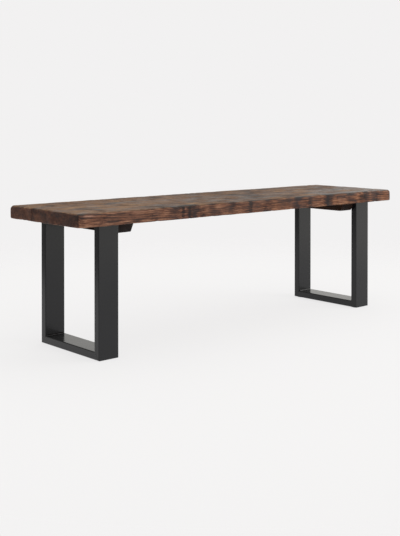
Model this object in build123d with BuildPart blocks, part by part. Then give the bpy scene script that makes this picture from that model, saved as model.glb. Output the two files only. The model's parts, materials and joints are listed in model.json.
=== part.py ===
from build123d import *
import math
import os

os.makedirs("parts", exist_ok=True)

# A bench: three thick boards glued edge to edge, two battens under them, and two
# steel legs, each a U of rectangular tube closed by a flat strap under the seat.
# +X runs along the seat to the right, +Y from its front edge to its back, +Z up.
# The origin is on the floor, under the middle of the seat. Sizes are millimetres.

# Overall size
BENCH_LENGTH = 1500.0
BENCH_DEPTH = 400.0
BENCH_HEIGHT = 460.0

# Seat boards
SEAT_THICKNESS = 43.0
PLAN_CORNER_ROUND = 10.0  # the seat's four corners, seen from above
TOP_ARRIS_ROUND = 8.0
BOTTOM_ARRIS_ROUND = 4.0

# Dowels across the two glue joints
DOWEL_COUNT = 6
DOWEL_DIAMETER = 10.0
DOWEL_LENGTH = 60.0
DOWEL_END_CHAMFER = 1.0
DOWEL_GLUE_GAP = 0.1  # all round the dowel
DOWEL_END_GAP = 1.0
DOWEL_TO_BATTEN = 48.0  # from the outermost dowel to the batten beside it

# Steel tube of the legs
TUBE_WIDTH = 75.0  # along the bench
TUBE_THICKNESS = 25.0
TUBE_WALL = 2.0
TUBE_CORNER_ROUND = 3.0
LEG_END_SETBACK = 98.0  # from the seat's end to the leg
LEG_EDGE_SETBACK = 36.5  # from the seat's long edge to the leg

# Flat strap across the top of each leg
STRAP_THICKNESS = 5.0
STRAP_CORNER_ROUND = 3.0

# Weld beads in the inner corners
WELD_SIZE = 4.0
WELD_BULGE = 0.4

# Hex-head wood screws through the strap, with washers
STRAP_SCREW_DIAMETER = 6.0
STRAP_SCREW_PITCH = 36.0  # between the two rows
STRAP_SCREW_COVER = 14.0  # wood left between the tip and the sitting surface
STRAP_HEAD_ACROSS = 10.0
STRAP_HEAD_HEIGHT = 4.0
STRAP_HOLE_CLEARANCE = 0.5
WASHER_DIAMETER = 14.0
WASHER_THICKNESS = 1.6
WASHER_CLEARANCE = 0.2

# Battens under the boards
BATTEN_WIDTH = 66.0
BATTEN_THICKNESS = 33.0
BATTEN_TO_LEG = 1.0
BATTEN_EDGE_SETBACK = 45.0  # from the seat's long edge to the top of the batten's end
BATTEN_BEVEL = 17.0  # how much further in the end is at the batten's underside
BATTEN_ARRIS_ROUND = 2.0

# Countersunk wood screws through the battens
BATTEN_SCREW_DIAMETER = 5.0
BATTEN_HEAD_DIAMETER = 10.0
BATTEN_SCREW_STAGGER = 15.0  # either side of the batten's centre line
BATTEN_SCREW_SPREAD = 16.0  # either side of the middle of the outer boards' share
BATTEN_SCREW_COVER = 15.0
SOCKET_ACROSS = 3.0
SOCKET_DEPTH = 2.0
HEX_SIDES = 6  # of the sockets and of the strap screws' heads
COUNTERSINK_ANGLE = 90.0

# Wood screws in their pilot holes
SCREW_TIP_LENGTH = 6.0
SCREW_TIP_DIAMETER = 1.0
PILOT_CLEARANCE = 0.1
PILOT_EXTRA_DEPTH = 1.0

# Rubber pads under the floor rails
PAD_LENGTH = 60.0
PAD_WIDTH = 20.0
PAD_THICKNESS = 2.0
PAD_CORNER_ROUND = 3.0
PAD_SETBACK = 10.0  # from the rail's end

# Heights
rail_bottom = PAD_THICKNESS
rail_top = rail_bottom + TUBE_THICKNESS
seat_bottom = BENCH_HEIGHT - SEAT_THICKNESS
strap_bottom = seat_bottom - STRAP_THICKNESS
washer_bottom = strap_bottom - WASHER_THICKNESS
batten_bottom = seat_bottom - BATTEN_THICKNESS
dowel_height = seat_bottom + SEAT_THICKNESS / 2

# Places along the bench
leg_x = BENCH_LENGTH / 2 - LEG_END_SETBACK - TUBE_WIDTH / 2
batten_x = leg_x - TUBE_WIDTH / 2 - BATTEN_TO_LEG - BATTEN_WIDTH / 2
outermost_dowel_x = batten_x - BATTEN_WIDTH / 2 - DOWEL_TO_BATTEN
dowel_pitch = 2 * outermost_dowel_x / (DOWEL_COUNT - 1)
SIDES = {"left": -1, "right": 1}

# Places across the bench
board_width = BENCH_DEPTH / 3  # three boards of one width
seam_y = board_width / 2
leg_half_depth = BENCH_DEPTH / 2 - LEG_EDGE_SETBACK
post_inner_y = leg_half_depth - TUBE_THICKNESS
batten_top_y = BENCH_DEPTH / 2 - BATTEN_EDGE_SETBACK
batten_bottom_y = batten_top_y - BATTEN_BEVEL
FACINGS = {"front": -1, "rear": 1}

TOUCH = 0.001  # two places nearer than this are the same place


def strap_screw_points(side):
    """Where the six screws of one leg's strap are, in plan: two into each board."""
    outer_y = (seam_y + post_inner_y) / 2
    rows = (side * leg_x - STRAP_SCREW_PITCH / 2, side * leg_x + STRAP_SCREW_PITCH / 2)
    return [(x, y) for y in (-outer_y, 0, outer_y) for x in rows]


def batten_screw_points(side):
    """Where the six screws of one batten are, in plan: two into each board, staggered."""
    outer_y = (seam_y + batten_bottom_y) / 2
    far_y = outer_y + BATTEN_SCREW_SPREAD
    near_y = outer_y - BATTEN_SCREW_SPREAD
    across = (-far_y, -near_y, -seam_y / 2, seam_y / 2, near_y, far_y)
    return [
        (side * batten_x + BATTEN_SCREW_STAGGER * (-1) ** turn, y)
        for turn, y in enumerate(across)
    ]


def points_at(height, points):
    """The plan points, raised to one height."""
    return [(x, y, height) for x, y in points]


def facing_down(height, points):
    """The plan points at one height, as places on a surface that looks down."""
    return [Plane((x, y, height), z_dir=(0, 0, -1)) for x, y in points]


def save(piece, name):
    """Labels a finished piece and writes it to its own file."""
    piece.part.label = name
    export_step(piece.part, f"parts/{name}.step")


def make_board(name, front_y, rear_y):
    """One seat board, rounded where it is the outside of the seat and flat at its seams."""

    def outside_edges(face):
        return face.edges().filter_by(
            lambda edge: abs(abs(edge.center().Y) - seam_y) > TOUCH
        )

    with BuildPart() as board:
        with BuildSketch(Plane.XY.offset(seat_bottom)) as outline:
            with Locations((0, (front_y + rear_y) / 2)):
                Rectangle(BENCH_LENGTH, rear_y - front_y)
            corners = outline.vertices().filter_by(
                lambda corner: abs(corner.Y) > seam_y + TOUCH
            )
            if corners:
                fillet(corners, PLAN_CORNER_ROUND)
        extrude(amount=SEAT_THICKNESS)
        fillet(outside_edges(board.faces().sort_by(Axis.Z)[-1]), TOP_ARRIS_ROUND)
        fillet(outside_edges(board.faces().sort_by(Axis.Z)[0]), BOTTOM_ARRIS_ROUND)

        for seam in (-seam_y, seam_y):
            if front_y - TOUCH < seam < rear_y + TOUCH:
                with Locations((0, seam, dowel_height)):
                    with GridLocations(dowel_pitch, 0, DOWEL_COUNT, 1):
                        Cylinder(
                            DOWEL_DIAMETER / 2 + DOWEL_GLUE_GAP,
                            DOWEL_LENGTH + 2 * DOWEL_END_GAP,
                            rotation=(90, 0, 0),
                            mode=Mode.SUBTRACT,
                        )
        for side in SIDES.values():
            strap_points = [p for p in strap_screw_points(side) if front_y < p[1] < rear_y]
            with Locations(*facing_down(seat_bottom, strap_points)):
                Hole(
                    STRAP_SCREW_DIAMETER / 2 + PILOT_CLEARANCE,
                    SEAT_THICKNESS - STRAP_SCREW_COVER + PILOT_EXTRA_DEPTH,
                )
            batten_points = [p for p in batten_screw_points(side) if front_y < p[1] < rear_y]
            with Locations(*facing_down(seat_bottom, batten_points)):
                Hole(
                    BATTEN_SCREW_DIAMETER / 2 + PILOT_CLEARANCE,
                    SEAT_THICKNESS - BATTEN_SCREW_COVER + PILOT_EXTRA_DEPTH,
                )
    save(board, name)


def make_dowels(name, seam):
    """The dowels across one glue joint, half in each board."""
    with BuildPart() as dowels:
        with Locations((0, seam, dowel_height)):
            with GridLocations(dowel_pitch, 0, DOWEL_COUNT, 1):
                Cylinder(DOWEL_DIAMETER / 2, DOWEL_LENGTH, rotation=(90, 0, 0))
        chamfer(dowels.edges().filter_by(GeomType.CIRCLE), DOWEL_END_CHAMFER)
    save(dowels, name)


def make_batten(name, side):
    """One batten across the boards, with ends bevelled back towards its underside."""
    with BuildPart() as batten:
        with BuildSketch(Plane.YZ.offset(side * batten_x)):
            with BuildLine():
                Polyline(
                    (-batten_top_y, seat_bottom),
                    (-batten_bottom_y, batten_bottom),
                    (batten_bottom_y, batten_bottom),
                    (batten_top_y, seat_bottom),
                    close=True,
                )
            make_face()
        extrude(amount=BATTEN_WIDTH / 2, both=True)
        fillet(batten.faces().sort_by(Axis.Z)[0].edges(), BATTEN_ARRIS_ROUND)
        with Locations(*facing_down(batten_bottom, batten_screw_points(side))):
            CounterSinkHole(
                BATTEN_SCREW_DIAMETER / 2 + PILOT_CLEARANCE,
                BATTEN_HEAD_DIAMETER / 2 + PILOT_CLEARANCE,
                BATTEN_THICKNESS,
                counter_sink_angle=COUNTERSINK_ANGLE,
            )
    save(batten, name)


def add_shanks(start, points, diameter, cover):
    """Adds to the open part each screw's shank and tip, up to the given cover of wood."""
    tip_start = BENCH_HEIGHT - cover - SCREW_TIP_LENGTH
    upright = (Align.CENTER, Align.CENTER, Align.MIN)
    with Locations(*points_at(start, points)):
        Cylinder(diameter / 2, tip_start - start, align=upright)
    with Locations(*points_at(tip_start, points)):
        Cone(diameter / 2, SCREW_TIP_DIAMETER / 2, SCREW_TIP_LENGTH, align=upright)


def make_batten_screws(name, side):
    """The countersunk screws of one batten, heads flush with its underside."""
    points = batten_screw_points(side)
    head_step = (BATTEN_HEAD_DIAMETER - BATTEN_SCREW_DIAMETER) / 2
    head_height = head_step / math.tan(math.radians(COUNTERSINK_ANGLE / 2))
    with BuildPart() as screws:
        with Locations(*points_at(batten_bottom, points)):
            Cone(
                BATTEN_HEAD_DIAMETER / 2,
                BATTEN_SCREW_DIAMETER / 2,
                head_height,
                align=(Align.CENTER, Align.CENTER, Align.MIN),
            )
        add_shanks(
            batten_bottom + head_height, points, BATTEN_SCREW_DIAMETER, BATTEN_SCREW_COVER
        )
        with BuildSketch(Plane.XY.offset(batten_bottom)):
            with Locations(*points):
                RegularPolygon(SOCKET_ACROSS / 2, HEX_SIDES, major_radius=False)
        extrude(amount=SOCKET_DEPTH, mode=Mode.SUBTRACT)
    save(screws, name)


def draw_tube_ring():
    """Draws the tube's section in the open sketch, wide along its first axis."""
    RectangleRounded(TUBE_WIDTH, TUBE_THICKNESS, TUBE_CORNER_ROUND)
    RectangleRounded(
        TUBE_WIDTH - 2 * TUBE_WALL,
        TUBE_THICKNESS - 2 * TUBE_WALL,
        TUBE_CORNER_ROUND - TUBE_WALL,
        mode=Mode.SUBTRACT,
    )


def mitre_plane(side, facing):
    """The 45 degree joint at the foot of a post; its upper side is the post's."""
    corner = (side * leg_x, facing * leg_half_depth, rail_bottom)
    return Plane(corner, x_dir=(1, 0, 0), z_dir=(0, facing, 1))


def make_post(name, side, facing):
    """One upright tube, from its mitre at the floor to the strap."""
    post_y = facing * (leg_half_depth - TUBE_THICKNESS / 2)
    with BuildPart() as post:
        with BuildSketch(Plane.XY.offset(rail_bottom)):
            with Locations((side * leg_x, post_y)):
                draw_tube_ring()
        extrude(amount=strap_bottom - rail_bottom)
        split(bisect_by=mitre_plane(side, facing), keep=Keep.TOP)
    save(post, name)


def make_rail(name, side):
    """The tube along the floor, mitred to a post at each end."""
    with BuildPart() as rail:
        with BuildSketch(Plane.XZ):
            with Locations((side * leg_x, rail_bottom + TUBE_THICKNESS / 2)):
                draw_tube_ring()
        extrude(amount=leg_half_depth, both=True)
        for facing in FACINGS.values():
            split(bisect_by=mitre_plane(side, facing), keep=Keep.BOTTOM)
    save(rail, name)


def make_strap(name, side):
    """The flat bar welded across the post tops, drilled for its screws."""
    with BuildPart() as strap:
        with BuildSketch(Plane.XY.offset(strap_bottom)):
            with Locations((side * leg_x, 0)):
                RectangleRounded(TUBE_WIDTH, 2 * leg_half_depth, STRAP_CORNER_ROUND)
        extrude(amount=STRAP_THICKNESS)
        with Locations(*facing_down(strap_bottom, strap_screw_points(side))):
            Hole(STRAP_SCREW_DIAMETER / 2 + STRAP_HOLE_CLEARANCE, STRAP_THICKNESS)
    save(strap, name)


def make_welds(name, side):
    """The four beads of one leg, in the corners inside its posts."""
    bead_length = TUBE_WIDTH - 2 * TUBE_CORNER_ROUND
    with BuildPart() as welds:
        for facing in FACINGS.values():
            for corner_z, away in ((rail_top, 1), (strap_bottom, -1)):
                corner = Vector(facing * post_inner_y, corner_z)
                on_post = corner + Vector(0, away * WELD_SIZE)
                on_flat = corner + Vector(-facing * WELD_SIZE, 0)
                crown_reach = WELD_SIZE / 2 + WELD_BULGE
                crown = corner + Vector(-facing * crown_reach, away * crown_reach)
                with BuildSketch(Plane.YZ.offset(side * leg_x)):
                    with BuildLine():
                        Polyline(on_post, corner, on_flat)
                        ThreePointArc(on_flat, crown, on_post)
                    make_face()
                extrude(amount=bead_length / 2, both=True)
    save(welds, name)


def make_strap_washers(name, side):
    """The washers between one strap and its screw heads."""
    with BuildPart() as washers:
        with BuildSketch(Plane.XY.offset(washer_bottom)):
            with Locations(*strap_screw_points(side)):
                Circle(WASHER_DIAMETER / 2)
                Circle(
                    STRAP_SCREW_DIAMETER / 2 + WASHER_CLEARANCE, mode=Mode.SUBTRACT
                )
        extrude(amount=WASHER_THICKNESS)
    save(washers, name)


def make_strap_screws(name, side):
    """The hex-head screws of one strap, up through it into the boards."""
    points = strap_screw_points(side)
    with BuildPart() as screws:
        with BuildSketch(Plane.XY.offset(washer_bottom)):
            with Locations(*points):
                RegularPolygon(STRAP_HEAD_ACROSS / 2, HEX_SIDES, major_radius=False)
        extrude(amount=-STRAP_HEAD_HEIGHT)
        add_shanks(washer_bottom, points, STRAP_SCREW_DIAMETER, STRAP_SCREW_COVER)
    save(screws, name)


def make_pad(name, side, facing):
    """One rubber pad under the end of a floor rail."""
    pad_y = facing * (leg_half_depth - PAD_SETBACK - PAD_WIDTH / 2)
    with BuildPart() as pad:
        with BuildSketch(Plane.XY):
            with Locations((side * leg_x, pad_y)):
                RectangleRounded(PAD_LENGTH, PAD_WIDTH, PAD_CORNER_ROUND)
        extrude(amount=PAD_THICKNESS)
    save(pad, name)


make_board("seat_board_front", -BENCH_DEPTH / 2, -seam_y)
make_board("seat_board_middle", -seam_y, seam_y)
make_board("seat_board_rear", seam_y, BENCH_DEPTH / 2)
make_dowels("front_joint_dowels", -seam_y)
make_dowels("rear_joint_dowels", seam_y)

for side_name, side in SIDES.items():
    make_batten(f"{side_name}_batten", side)
    make_batten_screws(f"{side_name}_batten_screws", side)
    make_rail(f"{side_name}_floor_rail", side)
    make_strap(f"{side_name}_mounting_strap", side)
    make_welds(f"{side_name}_leg_welds", side)
    make_strap_washers(f"{side_name}_strap_washers", side)
    make_strap_screws(f"{side_name}_strap_screws", side)
    for facing_name, facing in FACINGS.items():
        make_post(f"{side_name}_{facing_name}_post", side, facing)
        make_pad(f"{side_name}_{facing_name}_pad", side, facing)
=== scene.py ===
import json
import math
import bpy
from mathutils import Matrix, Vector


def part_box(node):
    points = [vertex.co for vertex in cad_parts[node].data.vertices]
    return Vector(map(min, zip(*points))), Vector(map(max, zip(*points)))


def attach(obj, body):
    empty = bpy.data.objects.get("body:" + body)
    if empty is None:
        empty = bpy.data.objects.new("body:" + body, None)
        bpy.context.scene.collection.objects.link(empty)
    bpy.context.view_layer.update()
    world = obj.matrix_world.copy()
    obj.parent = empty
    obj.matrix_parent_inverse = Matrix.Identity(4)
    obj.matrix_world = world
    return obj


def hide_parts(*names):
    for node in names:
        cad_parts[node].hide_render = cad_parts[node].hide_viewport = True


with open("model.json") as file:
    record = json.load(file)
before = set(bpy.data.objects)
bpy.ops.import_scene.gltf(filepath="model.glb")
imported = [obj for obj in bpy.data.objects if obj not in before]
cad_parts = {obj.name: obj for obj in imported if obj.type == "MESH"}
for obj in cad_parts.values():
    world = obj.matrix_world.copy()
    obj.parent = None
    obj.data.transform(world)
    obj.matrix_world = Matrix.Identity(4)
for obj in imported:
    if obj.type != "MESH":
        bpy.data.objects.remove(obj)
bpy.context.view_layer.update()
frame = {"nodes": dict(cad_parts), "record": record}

from types import SimpleNamespace

import bpy
import numpy as np
from mathutils import Vector, noise

# ---------------------------------------------------------------- shader shorthand


class Graph:
    """The nodes of a material or a world, with short names for the kinds used here."""

    def __init__(self, owner):
        owner.use_nodes = True
        self.owner = owner
        self.tree = owner.node_tree
        self.tree.nodes.clear()

    def node(self, kind, inputs=(), **settings):
        """A new node. Each input is another node's output to link, or a value to set."""
        made = self.tree.nodes.new("ShaderNode" + kind)
        for key, value in settings.items():
            setattr(made, key, value)
        for key, value in dict(inputs).items():
            if isinstance(value, bpy.types.NodeSocket):
                self.tree.links.new(value, made.inputs[key])
            else:
                made.inputs[key].default_value = value
        return made

    def math(self, operation, *values):
        return self.node("Math", enumerate(values), operation=operation).outputs[0]

    def vector(self, operation, a, b):
        return self.node("VectorMath", {0: a, 1: b}, operation=operation).outputs[0]

    def place(self):
        """Where the shaded point is on the bench, in metres."""
        return self.node("TexCoord").outputs["Object"]

    def split(self, vector):
        return self.node("SeparateXYZ", {0: vector}).outputs

    def join(self, x, y, z):
        return self.node("CombineXYZ", {0: x, 1: y, 2: z}).outputs[0]

    def noise(self, vector, scale=1.0, detail=2.0, roughness=0.5):
        """A noise of 0 to 1, and its three-channel version."""
        inputs = {"Vector": vector, "Scale": scale, "Detail": detail, "Roughness": roughness}
        return self.node("TexNoise", inputs).outputs

    def stretched(self, vector, scale, detail=2.0, roughness=0.5):
        """A noise with its own scale along each axis."""
        return self.noise(self.vector("MULTIPLY", vector, scale), 1.0, detail, roughness)

    def ramp(self, value, low, high, start=0.0, end=1.0):
        """Takes low..high smoothly to start..end."""
        inputs = {
            "Value": value,
            "From Min": low,
            "From Max": high,
            "To Min": start,
            "To Max": end,
        }
        return self.node("MapRange", inputs, interpolation_type="SMOOTHSTEP").outputs[0]

    def blend(self, factor, a, b, way="MIX"):
        made = self.node("Mix", data_type="RGBA", blend_type=way)
        for socket, value in ((0, factor), (6, a), (7, b)):
            if isinstance(value, bpy.types.NodeSocket):
                self.tree.links.new(value, made.inputs[socket])
            else:
                made.inputs[socket].default_value = value
        return made.outputs[2]

    def tint(self, factor, colour, by):
        """The colour, multiplied by another as far as factor says."""
        return self.blend(factor, colour, self.blend(1.0, colour, by, "MULTIPLY"))

    def total(self, start, *terms):
        """start plus each (weight, value) term."""
        for weight, value in terms:
            start = self.math("MULTIPLY_ADD", value, weight, start)
        return start

    def tones(self, value, stops):
        """Takes a number of 0 to 1 through colours, each with its place."""
        made = self.node("ValToRGB", {0: value})
        elements = made.color_ramp.elements
        for place, _ in stops[1:-1]:
            elements.new(place)
        for element, (place, colour) in zip(elements, stops):
            element.position = place
            element.color = colour
        return made.outputs[0]

    def bump(self, height, strength, distance, below=None):
        inputs = {"Height": height, "Strength": strength, "Distance": distance}
        if below is not None:
            inputs["Normal"] = below
        return self.node("Bump", inputs).outputs[0]

    def finish(self, **inputs):
        """Ends the graph in one Principled shader. An underscore stands for a space."""
        named = {key.replace("_", " "): value for key, value in inputs.items()}
        return self.end(self.node("BsdfPrincipled", named))

    def end(self, shader, kind="OutputMaterial"):
        """Ends the graph in this shader, and returns what the graph belongs to."""
        output = self.node(kind)
        self.tree.links.new(shader.outputs[0], output.inputs["Surface"])
        return self.owner


def new_graph(name):
    return Graph(bpy.data.materials.new(name))


def rgb(red, green, blue):
    return (red, green, blue, 1.0)


# ---------------------------------------------------------------- materials

# The wood's colours, from charred to rubbed bare, by their place on the scale of tone.
SEAT_TONES = (
    (0.0, rgb(0.017, 0.0105, 0.0095)),
    (0.22, rgb(0.034, 0.0165, 0.0125)),
    (0.45, rgb(0.083, 0.035, 0.022)),
    (0.7, rgb(0.172, 0.073, 0.041)),
    (1.0, rgb(0.300, 0.158, 0.098)),
)
# The battens' colours: their dark finish, darkened further with painted shade from the seat above.
BATTEN_TONES_AND_SHADE = (
    (0.0, rgb(0.005, 0.003, 0.0025)),
    (0.5, rgb(0.019, 0.0095, 0.0065)),
    (1.0, rgb(0.060, 0.028, 0.017)),
)

# Noise scales in cycles per metre: along the grain, then twice across it.
WOBBLE_SCALE = (16, 30, 30)
DRIFT_SCALE = (1.3, 4, 4)
RIPPLE_SCALE = (9, 40, 40)
FAINT_RING_SCALE = (5, 30, 30)
BROAD_SCALE = (4.5, 28, 28)
STREAK_SCALE = (13, 150, 150)
FIBRE_SCALE = (20, 540, 540)
PORE_SCALE = (45, 1000, 1000)
SMUDGE_SCALE = (13, 10, 12)
GLOW_SCALE = (5, 7, 12)
MOTTLE_SCALE = (15, 24, 40)
STAIN_BREAK_SCALE = (30, 60, 60)

RING_SPACING = 0.0054
PITH_DRIFT = (0, 0.11, 0.11)  # the span over which the pith wanders
RING_RIPPLE = (0, 0.009, 0.009)  # and single rings
START_TONE = 0.645
END_TONE = 0.54  # what the sawn ends are evened towards
STAIN_AND_SHADE_COLOUR = rgb(0.030, 0.021, 0.023)  # what the dark bands are mixed towards

# Tints, by which the colour is multiplied.
TOP_TINT = rgb(0.96, 1.15, 0.98)
END_TINT = rgb(0.98, 1.08, 1.24)
BARE_TINT = rgb(1.0, 1.05, 1.35)
ORANGE_TINT = rgb(0.96, 0.80, 0.57)


def knot_marks(g, x, y, wobble, knots):
    """How far knots push the rings out, and where their rims, hearts and halos lie."""
    swell, rim, heart, halo = 0.0, 0.0, 0.0, 0.0
    for knot_x, knot_y, knot_radius in knots:
        from_x = g.math("SUBTRACT", g.math("MULTIPLY_ADD", wobble, knot_radius, x), knot_x)
        from_x = g.math("MULTIPLY", from_x, 0.7)
        from_y = g.math("SUBTRACT", g.math("MULTIPLY_ADD", wobble, knot_radius * 0.7, y), knot_y)
        squared = g.math("MULTIPLY_ADD", from_x, from_x, g.math("MULTIPLY", from_y, from_y))
        away = g.math("DIVIDE", g.math("SQRT", squared), knot_radius)
        swell = g.math("MULTIPLY_ADD", g.ramp(away, 0.2, 3.0, 1.0, 0.0), knot_radius, swell)
        band = g.math("MULTIPLY", g.ramp(away, 0.55, 0.95), g.ramp(away, 1.05, 1.35, 1.0, 0.0))
        rim = g.math("MAXIMUM", rim, band)
        heart = g.math("MAXIMUM", heart, g.ramp(away, 0.7, 1.0, 1.0, 0.0))
        halo = g.math("MAXIMUM", halo, g.ramp(away, 1.0, 2.8, 1.0, 0.0))
    return swell, rim, heart, halo


def late_wood(g, spot, shifted, pith, swell):
    """The dark part of each growth ring, round a pith that wanders along the board."""
    drift = g.vector("SUBTRACT", g.stretched(shifted, DRIFT_SCALE, 2)[1], (0.5, 0.5, 0.5))
    ripple = g.vector("SUBTRACT", g.stretched(shifted, RIPPLE_SCALE, 3)[1], (0.5, 0.5, 0.5))
    drift = g.vector("MULTIPLY", drift, PITH_DRIFT)
    ripple = g.vector("MULTIPLY", ripple, RING_RIPPLE)
    _, ring_y, ring_z = g.split(g.vector("ADD", spot, g.vector("ADD", drift, ripple)))
    ring_y = g.math("SUBTRACT", ring_y, pith[0])
    ring_z = g.math("SUBTRACT", ring_z, pith[1])
    squared = g.math("MULTIPLY_ADD", ring_y, ring_y, g.math("MULTIPLY", ring_z, ring_z))
    radius = g.math("ADD", g.math("SQRT", squared), swell)
    ring = g.math("FRACT", g.math("DIVIDE", radius, RING_SPACING))
    late = g.math("SUBTRACT", g.ramp(ring, 0.3, 0.86), g.ramp(ring, 0.9, 1.0))
    faint = g.ramp(g.stretched(shifted, FAINT_RING_SCALE, 2)[0], 0.3, 0.65, 0.25, 1.0)
    return g.math("MULTIPLY", late, faint)


def stain_and_shade_bands(g, x, y, shifted, wobble, stains_and_shade):
    """Dark bands across the front edge, which run a little way in over the top: stains, and painted
    shade at the front corners.
    """
    band = 0.0
    for band_x, half_width, strength in stains_and_shade:
        from_x = g.math("SUBTRACT", g.math("MULTIPLY_ADD", wobble, half_width * 3.2, x), band_x)
        from_x = g.math("DIVIDE", g.math("ABSOLUTE", from_x), half_width)
        band = g.math("MAXIMUM", band, g.ramp(from_x, 0.1, 1.5, strength, 0.0))
    band = g.math("MULTIPLY", band, g.ramp(y, -0.196, -0.165, 1.0, 0.3))
    broken = g.stretched(shifted, STAIN_BREAK_SCALE, 3, 0.65)[0]
    return g.math("MULTIPLY", band, g.ramp(broken, 0.3, 0.6, 0.35, 1.0))


def worn_patches(g, spot, wobble, rubs):
    """Where the stain is rubbed off in small pale patches."""
    bare = 0.0
    for centre, half_sizes, strength in rubs:
        away = g.vector("DIVIDE", g.vector("SUBTRACT", spot, centre), half_sizes)
        away = g.node("VectorMath", {0: away}, operation="LENGTH").outputs["Value"]
        away = g.math("MULTIPLY_ADD", wobble, 1.2, away)
        bare = g.math("MAXIMUM", bare, g.ramp(away, 0.3, 1.2, strength, 0.0))
    return bare


def grain_noises(g, w, shifted):
    """Lengthwise streaks from broad to fine, pores, and the stain's dark smudges."""
    w.broad = g.stretched(shifted, BROAD_SCALE, 3, 0.65)[0]
    w.streak = g.stretched(shifted, STREAK_SCALE, 3, 0.7)[0]
    w.fibre = g.stretched(shifted, FIBRE_SCALE, 4, 0.65)[0]
    w.pore = g.ramp(g.stretched(shifted, PORE_SCALE, 1)[0], 0.58, 0.65)
    w.smudge = g.ramp(g.stretched(shifted, SMUDGE_SCALE, 4, 0.62)[0], 0.53, 0.7)
    w.glow = g.stretched(shifted, GLOW_SCALE, 2, 0.5)[0]
    w.mottle = g.stretched(shifted, MOTTLE_SCALE, 3, 0.6)[0]


def surface_kinds(g, w, along_y):
    """Where the wood is end grain, where it is the seat's top, and where arrises are worn."""
    normal = g.split(g.node("NewGeometry").outputs["Normal"])
    w.end_grain = g.ramp(g.math("ABSOLUTE", normal[1 if along_y else 0]), 0.6, 0.9)
    w.on_top = g.ramp(normal[2], 0.5, 0.95)
    arris = g.node("Attribute", attribute_name="wear").outputs["Fac"]
    w.rubbed = g.math("MULTIPLY", arris, g.ramp(w.streak, 0.35, 0.65, 0.35, 1.0))


def wood_tone(g, w):
    """How light the wood is, from 0 to 1. Its sawn ends are evened, and darkest in front."""
    tone = g.total(
        START_TONE,
        (-0.32, w.late),
        (1.20, g.math("SUBTRACT", w.broad, 0.5)),
        (1.55, g.math("SUBTRACT", w.streak, 0.5)),
        (1.00, g.math("SUBTRACT", w.fibre, 0.5)),
        (0.60, g.math("SUBTRACT", w.glow, 0.5)),
        (0.70, g.math("SUBTRACT", w.mottle, 0.5)),
        (0.45, w.bare),
        (0.06, g.ramp(w.x, -0.5, -0.35, 1.0, 0.0)),
        (-0.05, g.ramp(w.x, 0.35, 0.5)),
        (-0.20, w.pore),
        (-0.36, w.smudge),
        # the bands: stains, and painted shade at the front corners
        (-0.40, w.band),
        (0.34, w.rubbed),
        (-0.20, w.halo),
        (-0.10, w.heart),
        (-0.35, w.rim),
    )
    evened = g.math("MULTIPLY", w.end_grain, 0.4)
    tone = g.math("MULTIPLY_ADD", g.math("SUBTRACT", END_TONE, tone), evened, tone)
    front_end = g.math("MULTIPLY", w.end_grain, g.ramp(w.y, -0.13, 0.02, 1.0, 0.0))
    return g.total(tone, (-0.09, w.end_grain), (-0.21, front_end))


def wood_colour(g, w, tones):
    """Greyer on top and at the ends, pinker where it is bare, more orange to the right."""
    orange = g.math("MULTIPLY", g.ramp(w.x, -0.35, 0.45), g.ramp(w.glow, 0.4, 0.65, 0.1, 0.7))
    orange = g.math("MULTIPLY", orange, g.ramp(w.on_top, 0.0, 1.0, 1.0, 0.2))
    colour = g.tones(wood_tone(g, w), tones)
    colour = g.tint(g.math("MULTIPLY", w.on_top, 0.9), colour, TOP_TINT)
    colour = g.tint(w.end_grain, colour, END_TINT)
    colour = g.tint(g.math("MULTIPLY", w.bare, 0.7), colour, BARE_TINT)
    return g.tint(orange, colour, ORANGE_TINT)


def wood_roughness(g, w):
    """Dull and polished patches, smoothest at the front right and dullest at the rear."""
    patches = g.total(0.0, (0.35, w.broad), (0.1, w.streak), (0.55, w.mottle))
    dull = g.ramp(patches, 0.40, 0.60)
    polish = g.math("MULTIPLY", g.ramp(w.x, 0.2, 0.65), g.ramp(w.y, -0.1, 0.08, 1.0, 0.3))
    rear = g.ramp(w.y, 0.0, 0.15)
    return g.total(
        0.44,
        (0.32, dull),
        (0.08, w.smudge),
        (-0.06, w.rubbed),
        (-0.16, polish),
        (0.07, rear),
    )


def wood(name, seed, pith, tones, stains_and_shade=(), knots=(), rubs=(), along_y=False, gloss=0.2):
    """Dark stained solid wood, cut from a log whose pith is at pith = (y, z), or (x, z)
    where the grain runs along y. Rings, fibres and knots run through it, so its ends,
    edges and faces agree. stains_and_shade are (x, half_width, strength), dark bands
    across the front edge: stains, and painted shade at its two corners; knots are
    (x, y, radius), upright through the board; rubs are pale worn ellipsoids,
    (centre, half_sizes, strength). w holds what each pattern is at the shaded point."""
    g = new_graph(name)
    spot = g.place()
    x, y, z = g.split(spot)
    if along_y:
        x, y = y, x
        spot = g.join(x, y, z)
    w = SimpleNamespace(x=x, y=y)
    shifted = g.vector("ADD", spot, (seed * 3.7, seed * 1.9, seed * 2.3))
    wobble = g.math("SUBTRACT", g.stretched(shifted, WOBBLE_SCALE, 3, 0.6)[0], 0.5)
    swell, w.rim, w.heart, w.halo = knot_marks(g, x, y, wobble, knots)
    w.late = late_wood(g, spot, shifted, pith, swell)
    w.band = stain_and_shade_bands(g, x, y, shifted, wobble, stains_and_shade) if stains_and_shade else 0.0
    w.bare = worn_patches(g, spot, wobble, rubs)
    grain_noises(g, w, shifted)
    surface_kinds(g, w, along_y)

    colour = wood_colour(g, w, tones)
    # Mixed towards a dark colour in the bands: stains, and painted shade at the front corners.
    if stains_and_shade:
        colour = g.blend(g.math("MULTIPLY", w.band, 0.4), colour, STAIN_AND_SHADE_COLOUR)
    relief = g.total(0.0, (-0.5, w.late), (-0.8, w.pore), (0.7, w.fibre))
    bump = g.bump(relief, 0.6, 0.0006)
    bump = g.bump(w.streak, 0.5, 0.0014, bump)
    rough = wood_roughness(g, w)
    return g.finish(Base_Color=colour, Roughness=rough, Normal=bump, Specular_IOR_Level=gloss)


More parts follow.
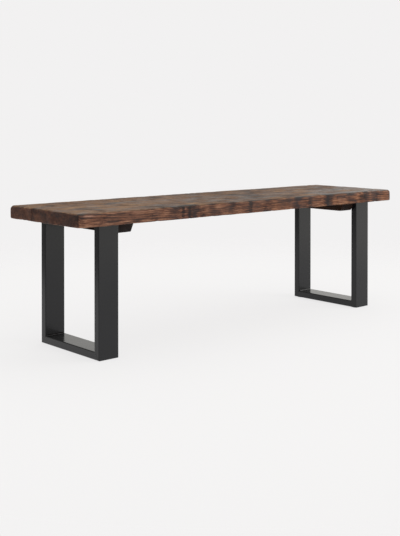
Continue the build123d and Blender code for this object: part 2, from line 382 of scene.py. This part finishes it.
def powder_coat():
    """Satin black powder coat, with its fine orange peel and a little dust."""
    g = new_graph("black_powder_coat")
    spot = g.place()
    peel = g.noise(spot, 700, 2, 0.5)[0]
    speck = g.noise(spot, 2600, 1, 0.5)[0]
    cloud = g.noise(spot, 9, 4, 0.6)[0]
    colour = g.blend(cloud, rgb(0.0035, 0.0037, 0.0048), rgb(0.0075, 0.0078, 0.0092))
    rough = g.total(0.13, (0.12, cloud), (0.05, speck))
    bump = g.bump(peel, 0.25, 0.00012)
    bump = g.bump(speck, 0.15, 0.00004, bump)
    return g.finish(Base_Color=colour, Roughness=rough, Normal=bump, Specular_IOR_Level=0.4)


def plated_steel():
    """Yellowish zinc plating, a little dull, with fine turning marks."""
    g = new_graph("zinc_plated_steel")
    spot = g.place()
    cloud = g.noise(spot, 180, 3, 0.6)[0]
    colour = g.blend(cloud, rgb(0.42, 0.4, 0.35), rgb(0.58, 0.55, 0.47))
    rough = g.total(0.28, (0.2, cloud))
    bump = g.bump(g.noise(spot, 2200, 2, 0.5)[0], 0.2, 0.00005)
    return g.finish(Base_Color=colour, Metallic=1.0, Roughness=rough, Normal=bump)


def pad_rubber():
    """Matte black rubber with a fine moulded grain."""
    g = new_graph("pad_rubber")
    spot = g.place()
    grain = g.noise(spot, 1500, 2, 0.6)[0]
    colour = g.blend(grain, rgb(0.012, 0.012, 0.012), rgb(0.024, 0.024, 0.023))
    rough = g.total(0.72, (0.15, grain))
    return g.finish(Base_Color=colour, Roughness=rough, Normal=g.bump(grain, 0.4, 0.0001))


def dowel_wood():
    """Plain beech with its short flecks."""
    g = new_graph("dowel_beech")
    spot = g.place()
    fleck = g.stretched(spot, (900, 60, 900), 2)[0]
    colour = g.blend(fleck, rgb(0.52, 0.33, 0.19), rgb(0.4, 0.23, 0.12))
    return g.finish(Base_Color=colour, Roughness=0.6, Normal=g.bump(fleck, 0.3, 0.0002))


# ---------------------------------------------------------------- mesh helpers


def link(thing):
    """Puts an object in the scene."""
    bpy.context.scene.collection.objects.link(thing)


def ladder(start, end, step, fine_start=0.0, fine_end=0.0, fine_step=0.0016):
    """Places from start to end, step apart, and fine_step apart near an end that is fine."""
    low, high = start + fine_start, end - fine_end
    parts = [np.linspace(low, high, 1 + max(1, round((high - low) / step)))]
    if fine_start:
        parts.append(np.linspace(start, low, 1 + round(fine_start / fine_step)))
    if fine_end:
        parts.append(np.linspace(high, end, 1 + round(fine_end / fine_step)))
    return np.unique(np.round(np.concatenate(parts), 7))


def box_grid(xs, ys, zs):
    """The points and quads of a closed box whose six sides are divided at xs, ys and zs."""
    count = (len(xs), len(ys), len(zs))
    outside = np.zeros(count, bool)
    for axis in range(3):
        for end in (0, -1):
            outside[tuple(end if a == axis else slice(None) for a in range(3))] = True
    number = np.full(count, -1)
    number[outside] = np.arange(outside.sum())
    lattice = np.stack(np.meshgrid(xs, ys, zs, indexing="ij"), -1)
    quads = []
    for axis in range(3):
        for end in (0, -1):
            side = np.take(number, end, axis=axis)
            corners = [side[:-1, :-1], side[1:, :-1], side[1:, 1:], side[:-1, 1:]]
            if (end == 0) != (axis == 1):
                corners.reverse()
            quads.append(np.stack(corners, -1).reshape(-1, 4))
    return lattice[outside], np.concatenate(quads)


def ring_of(x, y, z, radius, turns):
    """Points on a level circle."""
    angles = [2 * math.pi * turn / turns for turn in range(turns)]
    return [(x + radius * math.cos(angle), y + radius * math.sin(angle), z) for angle in angles]


def new_mesh(name, points, faces, material, body="root"):
    """A smooth-shaded object of these points and faces, riding on the bench."""
    mesh = bpy.data.meshes.new(name)
    corners = [[int(index) for index in face] for face in faces]
    mesh.from_pydata(np.asarray(points).tolist(), [], corners)
    mesh.materials.append(material)
    mesh.polygons.foreach_set("use_smooth", [True] * len(mesh.polygons))
    mesh.update()
    piece = bpy.data.objects.new(name, mesh)
    link(piece)
    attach(piece, body)
    return piece


def read_points(piece):
    places = np.zeros(len(piece.data.vertices) * 3)
    piece.data.vertices.foreach_get("co", places)
    return places.reshape(-1, 3)


def read_normals(piece):
    normals = np.zeros(len(piece.data.vertices) * 3)
    piece.data.vertex_normals.foreach_get("vector", normals)
    return normals.reshape(-1, 3)


def write_points(piece, points):
    piece.data.vertices.foreach_set("co", points.ravel())
    piece.data.update()


def noise_at(points, scale, seed):
    """Smooth noise of about -1 to 1 at each point, with its own scale along each axis."""
    scaled = points * np.array(scale) + seed * 17.3
    return np.array([noise.noise(p) for p in scaled.tolist()])


def round_pair(inset, depth, radius):
    """Bends the square edge between two faces into an arc. inset and depth are how far a
    point of the box lies in from each face; returns the same two after rounding."""
    near = (inset < radius) & (depth < radius)
    u = np.where(near, radius - inset, 0.0)
    v = np.where(near, radius - depth, 0.0)
    largest = np.maximum(u, v)
    length = np.sqrt(u * u + v * v)
    share = np.where(length > 0, largest / np.where(length > 0, length, 1), 1.0)
    return (
        np.where(near, radius - u * share, inset),
        np.where(near, radius - v * share, depth),
    )


def store_wear(piece, wear):
    """Keeps how worn each point is, from 0 to 1, for the wood to read."""
    attribute = piece.data.attributes.new("wear", "FLOAT", "POINT")
    attribute.data.foreach_set("value", np.clip(wear, 0, 1).astype(np.float32))


# ---------------------------------------------------------------- seat boards

BOARDS = ("front", "middle", "rear")
SEAT_LOW = Vector([min(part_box(f"seat_board_{n}")[0][i] for n in BOARDS) for i in range(3)])
SEAT_HIGH = Vector([max(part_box(f"seat_board_{n}")[1][i] for n in BOARDS) for i in range(3)])
PLAN_ROUND = 0.010
TOP_ROUND = 0.008
BOTTOM_ROUND = 0.004
SEAM_ROUND = 0.0012

# The boards' meshes: the step from point to point, along and across, and near an arris.
LONG_STEP = 0.006
CROSS_STEP = 0.0045
ARRIS_STEP = 0.0012

# How far the hand-planed faces and the knocks reach in.
HOLLOW_DEPTH = 0.00075
SCALLOP_DEPTH = 0.00045
CHIP_DEPTH = 0.0045
DENT_DEPTH = 0.003
PLANED_OFF = 0.0006
MOST_OUTWARD = 0.0002  # no point is moved further out than this


def seat_outline(points):
    """How far in from the seat's outline each point is, and the way out to it."""
    half = np.array([SEAT_HIGH.x, SEAT_HIGH.y])
    core = half - PLAN_ROUND
    beyond = np.abs(points[:, :2]) - core
    outer = np.maximum(beyond, 0)
    length = np.linalg.norm(outer, axis=1)
    distance = length + np.minimum(beyond.max(1), 0) - PLAN_ROUND
    straight = np.where((beyond[:, 0] > beyond[:, 1])[:, None], [1.0, 0.0], [0.0, 1.0])
    way = np.where((length > 1e-9)[:, None], outer / np.maximum(length, 1e-9)[:, None], straight)
    return -distance, way * np.sign(points[:, :2])


def round_corners(points):
    """Rounds the seat's four corners, seen from above."""
    core = np.array([SEAT_HIGH.x, SEAT_HIGH.y]) - PLAN_ROUND
    for sign_x in (-1, 1):
        for sign_y in (-1, 1):
            signs = np.array([sign_x, sign_y])
            centre = signs * core
            out = (points[:, :2] - centre) * signs
            inside = (out > 0).all(1)
            share = out.max(1) / np.maximum(np.linalg.norm(out, axis=1), 1e-9)
            points[inside, :2] = (centre + out * share[:, None] * signs)[inside]


def wear_arrises(points, low, high):
    """Rounds the upper and lower arrises, more in some places than in others."""
    inset, way = seat_outline(points)
    level = points * (1, 1, 0)
    worn = 1 + 0.35 * noise_at(level, (9, 9, 0), 1) + 0.25 * noise_at(level, (33, 33, 0), 2)
    to_corner = np.linalg.norm(np.abs(points[:, :2]) - (SEAT_HIGH.x, SEAT_HIGH.y), axis=1)
    worn += 0.6 * np.exp(-((to_corner / 0.03) ** 2))
    radius = np.clip(TOP_ROUND * worn, 0.0055, 0.0135)
    new_inset, new_depth = round_pair(inset, high.z - points[:, 2], radius)
    points[:, :2] -= way * (new_inset - inset)[:, None]
    points[:, 2] = high.z - new_depth

    radius = np.clip(BOTTOM_ROUND * worn, 0.002, 0.006)
    inset, _ = seat_outline(points)
    new_inset, new_depth = round_pair(inset, points[:, 2] - low.z, radius)
    near_bottom = points[:, 2] - low.z < radius
    points[:, :2] -= way * np.where(near_bottom, new_inset - inset, 0)[:, None]
    points[:, 2] = np.where(near_bottom, low.z + new_depth, points[:, 2])


def ease_seams(points, low, high, seams):
    """Rounds the seams by a hairline, so that each board reads as its own piece."""
    radius = np.full(len(points), SEAM_ROUND)
    for edge, inward in seams:
        off_seam = (points[:, 1] - edge) * inward
        for level, up in ((high.z, -1), (low.z, 1)):
            off_seam, depth = round_pair(off_seam, (points[:, 2] - level) * up, radius)
            points[:, 1] = edge + inward * off_seam
            points[:, 2] = level + up * depth


def plane_and_knock(piece, low, high, seams, seed):
    """Broad hollows, shorter scallops, dents, and nicks along the arrises."""
    points, out = read_points(piece), read_normals(piece)
    inset, _ = seat_outline(points)
    hollow = HOLLOW_DEPTH * noise_at(points, (5, 13, 13), 3)
    scallop = SCALLOP_DEPTH * noise_at(points, (24, 30, 30), 4)
    near_top = np.clip(1 - (high.z - points[:, 2]) / 0.014, 0, 1)
    near_bottom = np.clip(1 - (points[:, 2] - low.z) / 0.012, 0, 1)
    near_edge = np.clip(1 - inset / 0.016, 0, 1)
    arris = near_edge * np.maximum(near_top, near_bottom)
    chip = np.maximum(noise_at(points, (60, 60, 45), 5) - 0.25, 0) * CHIP_DEPTH * arris
    dent = np.maximum(noise_at(points, (28, 45, 45), seed + 6) - 0.45, 0) * DENT_DEPTH
    clear = np.ones(len(points))
    for edge, _ in seams:
        clear = np.minimum(clear, np.clip(np.abs(points[:, 1] - edge) / 0.004, 0, 1))
    move = (hollow + scallop) * np.maximum(clear, 0.35) - (chip + dent) * clear - PLANED_OFF
    move = np.minimum(move, MOST_OUTWARD)
    underneath = points[:, 2] < low.z + 0.001
    move[clear < 0.001] = 0
    move[underneath & (inset > 0.03)] = 0
    write_points(piece, points + out * move[:, None])
    low_more = np.where(near_bottom > 0, 1.0, 0.35)
    store_wear(piece, low_more * arris * (0.75 + 0.5 * noise_at(points, (40, 40, 40), 9)))


def seat_board(node, material, seed):
    """One board of the seat: rounded and worn outside, nearly square at its seams."""
    low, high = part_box(node)
    seams = []  # the y of each glued edge, and the way in from it
    fine_front = fine_rear = PLAN_ROUND
    if low.y > SEAT_LOW.y + 0.001:
        seams.append((low.y, 1))
        fine_front = SEAM_ROUND * 2
    if high.y < SEAT_HIGH.y - 0.001:
        seams.append((high.y, -1))
        fine_rear = SEAM_ROUND * 2
    xs = ladder(low.x, high.x, LONG_STEP, PLAN_ROUND, PLAN_ROUND)
    ys = ladder(low.y, high.y, CROSS_STEP, fine_front, fine_rear, ARRIS_STEP)
    zs = ladder(low.z, high.z, CROSS_STEP, BOTTOM_ROUND, TOP_ROUND, ARRIS_STEP)
    points, quads = box_grid(xs, ys, zs)
    round_corners(points)
    wear_arrises(points, low, high)
    ease_seams(points, low, high, seams)
    piece = new_mesh(node + "_wood", points, quads, material)
    plane_and_knock(piece, low, high, seams, seed)
    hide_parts(node)


# The marks on each board, in metres, as wood() takes them. The front edge's bands and
# rubs are set to lie about where the photograph has them.
FRONT_STAINS_AND_CORNER_SHADE = (
    # painted shade at the front left corner
    (-0.738, 0.010, 0.6),
    (-0.382, 0.030, 0.75),
    (-0.298, 0.020, 0.9),
    (-0.208, 0.026, 0.65),
    (-0.128, 0.014, 0.6),
    (-0.038, 0.008, 0.4),
    (0.048, 0.020, 0.75),
    (0.160, 0.012, 0.4),
    (0.196, 0.025, 0.95),
    (0.264, 0.014, 0.5),
    (0.372, 0.026, 0.9),
    (0.508, 0.030, 1.0),
    (0.600, 0.016, 0.7),
    (0.646, 0.018, 0.85),
    # painted shade over the front right corner's highlight
    (0.746, 0.010, 0.7),
)
FRONT_KNOTS = ((-0.330, -0.193, 0.012), (-0.635, -0.118, 0.012), (0.367, -0.188, 0.010))
FRONT_RUBS = (
    ((-0.712, -0.200, 0.4515), (0.030, 0.020, 0.0035), 0.7),
    ((-0.655, -0.135, 0.4600), (0.028, 0.022, 0.0120), 0.8),
    ((-0.335, -0.200, 0.4510), (0.006, 0.020, 0.0040), 1.0),
    ((-0.335, -0.200, 0.4300), (0.015, 0.020, 0.0090), 0.45),
)
MIDDLE_KNOTS = ((-0.48, 0.02, 0.012), (0.13, -0.03, 0.015), (0.52, 0.035, 0.010))
REAR_KNOTS = ((-0.2, 0.12, 0.013), (0.37, 0.15, 0.011), (-0.66, 0.1, 0.009))

front_wood = wood("seat_wood_front", 1, (-0.13, 0.35), SEAT_TONES, FRONT_STAINS_AND_CORNER_SHADE, FRONT_KNOTS, FRONT_RUBS)
middle_wood = wood("seat_wood_middle", 2, (0.03, 0.52), SEAT_TONES, (), MIDDLE_KNOTS)
rear_wood = wood("seat_wood_rear", 3, (0.11, 0.37), SEAT_TONES, (), REAR_KNOTS)
seat_board("seat_board_front", front_wood, 1)
seat_board("seat_board_middle", middle_wood, 2)
seat_board("seat_board_rear", rear_wood, 3)

# ---------------------------------------------------------------- battens

BATTEN_ROUND = 0.002
BATTEN_BEVEL = 0.017  # how much further in the ends are at the underside
SINK_RADIUS = 0.0051
SINK_DEPTH = 0.0025
SHANK_RADIUS = 0.0026
HOLE_DEPTH = 0.034  # a little more than the batten is thick
HOLE_TURNS = 24
BATTEN_STEP = 0.004
BATTEN_FINE_STEP = 0.0007


def countersinks(points, low_z):
    """Cutters for countersunk screws whose heads are flush with low_z at these points."""
    levels = (
        (-0.001, SINK_RADIUS),
        (0.0, SINK_RADIUS),
        (SINK_DEPTH, SHANK_RADIUS),
        (HOLE_DEPTH, SHANK_RADIUS),
    )
    corners, faces = [], []
    for x, y in points:
        first = len(corners)
        for height, radius in levels:
            corners.extend(ring_of(x, y, low_z + height, radius, HOLE_TURNS))
        last = len(corners) - HOLE_TURNS
        faces.append([first + turn for turn in reversed(range(HOLE_TURNS))])
        faces.append([last + turn for turn in range(HOLE_TURNS)])
        for below in range(first, last, HOLE_TURNS):
            for turn in range(HOLE_TURNS):
                a = below + turn
                b = below + (turn + 1) % HOLE_TURNS
                faces.append([a, b, b + HOLE_TURNS, a + HOLE_TURNS])
    mesh = bpy.data.meshes.new("cutter")
    mesh.from_pydata(corners, [], faces)
    cutter = bpy.data.objects.new("cutter", mesh)
    link(cutter)
    return cutter


def cut(piece, cutter):
    """Cuts one closed mesh out of another, and removes the cutter."""
    modifier = piece.modifiers.new("cut", "BOOLEAN")
    modifier.operation = "DIFFERENCE"
    modifier.solver = "EXACT"
    modifier.object = cutter
    depsgraph = bpy.context.evaluated_depsgraph_get()
    result = bpy.data.meshes.new_from_object(piece.evaluated_get(depsgraph))
    piece.modifiers.clear()
    piece.data = result
    bpy.data.objects.remove(cutter)
    result.set_sharp_from_angle(angle=math.radians(35))


def screw_points(node):
    """Where a node's screws stand in plan: the middles of its separate solids."""
    mesh = frame["nodes"][node].data
    parent = list(range(len(mesh.vertices)))

    def root(index):
        while parent[index] != index:
            parent[index] = parent[parent[index]]
            index = parent[index]
        return index

    by_place = {}
    for vertex in mesh.vertices:
        place = tuple(round(value, 6) for value in vertex.co)
        first = by_place.setdefault(place, vertex.index)
        parent[root(vertex.index)] = root(first)
    for edge in mesh.edges:
        parent[root(edge.vertices[0])] = root(edge.vertices[1])
    groups = {}
    for vertex in mesh.vertices:
        groups.setdefault(root(vertex.index), []).append(vertex.co.xy)
    middles = []
    for places in groups.values():
        across = [place.x for place in places]
        along = [place.y for place in places]
        middles.append(((min(across) + max(across)) / 2, (min(along) + max(along)) / 2))
    return middles


def shape_batten(points, low, high):
    """Softens the lower edges, then bevels the ends."""
    radius = np.full(len(points), BATTEN_ROUND)
    for axis in (0, 1):
        middle = (low[axis] + high[axis]) / 2
        half = (high[axis] - low[axis]) / 2
        side = np.sign(points[:, axis] - middle)
        inset = half - np.abs(points[:, axis] - middle)
        new_inset, new_depth = round_pair(inset, points[:, 2] - low.z, radius)
        points[:, axis] -= side * (new_inset - inset)
        points[:, 2] = low.z + new_depth
    half_length = (high.y - low.y) / 2
    down = (high.z - points[:, 2]) / (high.z - low.z)
    points[:, 1] *= 1 - down * BATTEN_BEVEL / half_length


def saw_batten(piece, high, holes, seed):
    """Roughens all but the top and the flats round the screws, always inwards."""
    points, out = read_points(piece), read_normals(piece)
    sawn = 0.0005 * noise_at(points, (25, 9, 25), seed)
    sawn += 0.00025 * noise_at(points, (70, 130, 70), seed)
    below_top = points[:, 2] < high.z - 0.001
    to_screw = np.min([np.linalg.norm(points[:, :2] - hole, axis=1) for hole in holes], axis=0)
    off_screw = np.clip((to_screw - 0.007) / 0.008, 0, 1)
    move = (np.minimum(sawn, 0.0004) - 0.0004) * below_top * off_screw
    write_points(piece, points + out * move[:, None])


def batten(node, seed):
    """A rough-sawn batten with bevelled ends, softened lower edges and countersunk holes."""
    low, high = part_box(node)
    fine = (BATTEN_ROUND, BATTEN_ROUND, BATTEN_FINE_STEP)
    xs = ladder(low.x, high.x, BATTEN_STEP, *fine)
    ys = ladder(low.y, high.y, BATTEN_STEP, *fine)
    zs = ladder(low.z, high.z, BATTEN_STEP, BATTEN_ROUND, 0.0, BATTEN_FINE_STEP)
    points, quads = box_grid(xs, ys, zs)
    shape_batten(points, low, high)
    # Its tones are darkened with painted shade from the seat above.
    material = wood(node + "_wood", seed, (low.x - 0.02, 0.36), BATTEN_TONES_AND_SHADE, along_y=True, gloss=0.1)
    piece = new_mesh(node + "_sawn", points, quads, material)
    holes = screw_points(node + "_screws")
    saw_batten(piece, high, holes, seed)
    cut(piece, countersinks(holes, low.z))
    points = read_points(piece)
    store_wear(piece, np.clip(1 - (points[:, 2] - low.z) / 0.006, 0, 1) * 0.25)
    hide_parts(node)


batten("left_batten", 11)
batten("right_batten", 12)

# ---------------------------------------------------------------- steel and small parts

coat = powder_coat()
FINISHES = {
    "black_coated_steel": coat,
    "screw_steel": plated_steel(),
    "pad_rubber": pad_rubber(),
    "dowel_wood": dowel_wood(),
}
for subpart in frame["record"]["subparts"]:
    cad_piece = frame["nodes"][subpart["node"]]
    finish = FINISHES.get(subpart["material_slot"])
    if finish and not cad_piece.hide_render:
        cad_piece.data.materials.clear()
        cad_piece.data.materials.append(finish)

# ---------------------------------------------------------------- welds

WELD_SIZE = 0.004
WELD_PITCH = 0.0024  # from one ripple to the next
SEAM_WIDTH = 0.0042
SEAM_HEIGHT = 0.0003
SEAM_INSET = 0.003  # how far a seam stops short of the mitre's corners
WELD_CROWN = 0.0005
RIPPLE_HEIGHT = 0.00034
RIPPLE_LAG = 0.0011  # how far along the bead a ripple's middle is from its ends
WELD_SINK = 0.0002  # how far a bead's root is let into the steel


def fillet_section(swell, along, ending):
    """A bead's outline in an inner corner: its root, then round from wall to wall."""
    outline = [(-WELD_SINK, -WELD_SINK)]
    for step in range(9):
        angle = math.pi / 2 * step / 8
        bulge = math.sin(2 * angle)
        chord = WELD_SIZE / (math.cos(angle) + math.sin(angle))
        lag = RIPPLE_LAG * math.cos(2 * angle - math.pi / 2)
        scale = abs(math.sin(math.pi * (along + lag) / WELD_PITCH))
        radius = (chord + WELD_CROWN * bulge) * ending * (1 + 0.12 * swell)
        radius += RIPPLE_HEIGHT * (scale - 0.6) * bulge * ending
        outline.append((radius * math.cos(angle), radius * math.sin(angle)))
    return outline


def ground_section(swell, _along, ending):
    """A bead ground nearly flush: a shallow crown across the joint, with no ripples."""
    outline = [(0.0, -0.0004)]
    for step in range(7):
        place = 1 - 2 * step / 6
        width = SEAM_WIDTH / 2 * (1 + 0.15 * swell)
        height = SEAM_HEIGHT * (1 - place * place) * ending * (0.85 + 0.3 * swell)
        outline.append((width * place, height - 0.00005))
    return outline


def run_bead(points, faces, section, start, end, side, up, step, seed):
    """Adds one closed bead from start to end, with its section drawn along side and up."""
    start, end, side, up = (Vector(v) for v in (start, end, side, up))
    length = (end - start).length
    count = round(length / step)
    first = len(points)
    for index in range(count + 1):
        along = length * index / count
        from_end = min(along, length - along)
        ending = math.sqrt(min(1.0, 0.12 + from_end / 0.003))
        swell = noise.noise((along * 120, seed * 7.7, 0.0))
        outline = section(swell, along, ending)
        size = len(outline)
        for a, b in outline:
            points.append(tuple(start.lerp(end, index / count) + side * a + up * b))
    turned = (end - start).cross(side).dot(up) < 0
    last = first + count * size
    made = [[first + i for i in reversed(range(size))], [last + i for i in range(size)]]
    for ring in range(first, last, size):
        for i in range(size):
            a = ring + i
            b = ring + (i + 1) % size
            made.append([a, b, b + size, a + size])
    for face in made:
        faces.append(face[::-1] if turned else face)


def welds(side_name):
    """One leg's welds: rippled in the inner corners, ground along the mitres at the foot."""
    node = f"{side_name}_leg_welds"
    low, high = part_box(node)
    post_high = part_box(f"{side_name}_front_post")[1]
    rail_low, rail_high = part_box(f"{side_name}_floor_rail")
    strap_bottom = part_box(f"{side_name}_mounting_strap")[0].z
    points, faces = [], []
    for facing in (-1, 1):
        inner_y = facing * -post_high.y
        for z, up in ((rail_high.z, 1), (strap_bottom, -1)):
            ends = ((low.x, inner_y, z), (high.x, inner_y, z))
            seed = facing + 3 * up
            run_bead(points, faces, fillet_section, *ends, (0, -facing, 0), (0, 0, up), 0.0004, seed)
    piece = new_mesh(f"{side_name}_weld_beads", points, faces, coat)
    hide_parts(node)

    points, faces = [], []
    for facing in (-1, 1):
        inner = (facing * -post_high.y, rail_high.z)
        outer = (facing * rail_high.y, rail_low.z)
        for out, x in ((-1, rail_low.x), (1, rail_high.x)):
            start = (x, inner[0] + facing * SEAM_INSET, inner[1] - SEAM_INSET)
            end = (x, outer[0] - facing * SEAM_INSET, outer[1] + SEAM_INSET)
            across = (0, facing * math.sqrt(0.5), math.sqrt(0.5))
            seed = facing + 3 * out
            run_bead(points, faces, ground_section, start, end, across, (out, 0, 0), 0.001, seed)
    piece = new_mesh(f"{side_name}_mitre_seams", points, faces, coat)


welds("left")
welds("right")

# ---------------------------------------------------------------- studio

FLOOR_RADII = (0.6, 1.2, 2.0, 3.0, 4.5, 6.0)
FLOOR_TURNS = 96
FADE_START = 1.2
FADE_END = 2.6
FLOOR_DARK = rgb(0.145, 0.144, 0.144)
FLOOR_LIGHT = rgb(0.155, 0.154, 0.154)
FLOOR_GLOW = rgb(0.755, 0.75, 0.752)
SURROUND = rgb(0.888, 0.880, 0.880)
LIGHT_COLOUR = rgb(1.0, 0.985, 0.945)
LIGHT_WAY = Vector((0.78, -0.46, 0.42)).normalized()
LIGHT_MEAN = 0.76
LIGHT_SWING = 0.58


def floor_material():
    """Pale and faintly grained, and clear further out."""
    g = new_graph("studio_floor")
    spot = g.place()
    x, y, _ = g.split(spot)
    away = g.math("SQRT", g.math("ADD", g.math("MULTIPLY", x, x), g.math("MULTIPLY", y, y)))
    grain = g.noise(spot, 140, 2, 0.5)[0]
    paper = g.node("BsdfDiffuse", {"Color": g.blend(grain, FLOOR_DARK, FLOOR_LIGHT)})
    glow = g.node("Emission", {"Color": FLOOR_GLOW})
    floor = g.node("AddShader", {0: paper.outputs[0], 1: glow.outputs[0]})
    clear = g.node("BsdfTransparent")
    fade = g.ramp(away, FADE_START, FADE_END)
    return g.end(g.node("MixShader", {0: fade, 1: floor.outputs[0], 2: clear.outputs[0]}))


def studio_floor():
    """A pale floor that fades out round the bench into an even pale surround."""
    points = [(0.0, 0.0, 0.0)]
    for radius in FLOOR_RADII:
        points.extend(ring_of(0.0, 0.0, 0.0, radius, FLOOR_TURNS))
    faces = [(0, 1 + turn, 1 + (turn + 1) % FLOOR_TURNS) for turn in range(FLOOR_TURNS)]
    for ring in range(1, len(points) - FLOOR_TURNS, FLOOR_TURNS):
        for turn in range(FLOOR_TURNS):
            a = ring + turn
            b = ring + (turn + 1) % FLOOR_TURNS
            faces.append((a, a + FLOOR_TURNS, b + FLOOR_TURNS, b))
    mesh = bpy.data.meshes.new("studio_floor")
    mesh.from_pydata(points, [], faces)
    mesh.materials.append(floor_material())
    floor = bpy.data.objects.new("studio_floor", mesh)
    link(floor)


def softbox(name, place, aim, size, power):
    """A large soft lamp at place, turned towards aim."""
    data = bpy.data.lights.new(name, "AREA")
    data.shape = "RECTANGLE"
    data.size, data.size_y = size
    data.energy = power
    lamp = bpy.data.objects.new(name, data)
    lamp.location = place
    lamp.rotation_euler = (Vector(aim) - Vector(place)).to_track_quat("-Z", "Y").to_euler()
    lamp.visible_camera = False
    link(lamp)


def surround():
    """Lights the bench most from the right and above, and looks evenly pale itself."""
    g = Graph(bpy.data.worlds.new("studio"))
    way = g.node("TexCoord").outputs["Generated"]
    towards = g.node("VectorMath", {0: way, 1: LIGHT_WAY}, operation="DOT_PRODUCT").outputs["Value"]
    strength = g.math("MULTIPLY_ADD", towards, LIGHT_SWING, LIGHT_MEAN)
    light = g.node("Background", {"Color": LIGHT_COLOUR, "Strength": strength})
    seen = g.node("Background", {"Color": SURROUND})
    path = g.node("LightPath").outputs["Is Camera Ray"]
    mix = g.node("MixShader", {0: path, 1: light.outputs[0], 2: seen.outputs[0]})
    return g.end(mix, "OutputWorld")


def studio():
    """The surround, the floor and two soft lamps."""
    scene = bpy.context.scene
    scene.view_settings.view_transform = "Standard"
    scene.world = surround()
    studio_floor()
    softbox("key", (3.2, -3.0, 2.6), (0.1, 0, 0.3), (2.4, 2.4), 40)
    softbox("top", (0.4, 0.4, 3.4), (0, 0, 0.4), (3.5, 2.5), 16)


def camera():
    """To the bench's front left, higher than its seat, nearly level, with the lens shifted
    down."""
    data = bpy.data.cameras.new("camera")
    data.sensor_width = 36.0
    data.lens = 62.40
    data.shift_y = -0.2545
    place = bpy.data.objects.new("camera", data)
    place.location = (-2.2930, -2.4802, 0.7340)
    place.rotation_euler = (math.radians(90 - 0.64), 0, math.radians(-41.54))
    link(place)
    bpy.context.scene.camera = place


studio()
camera()
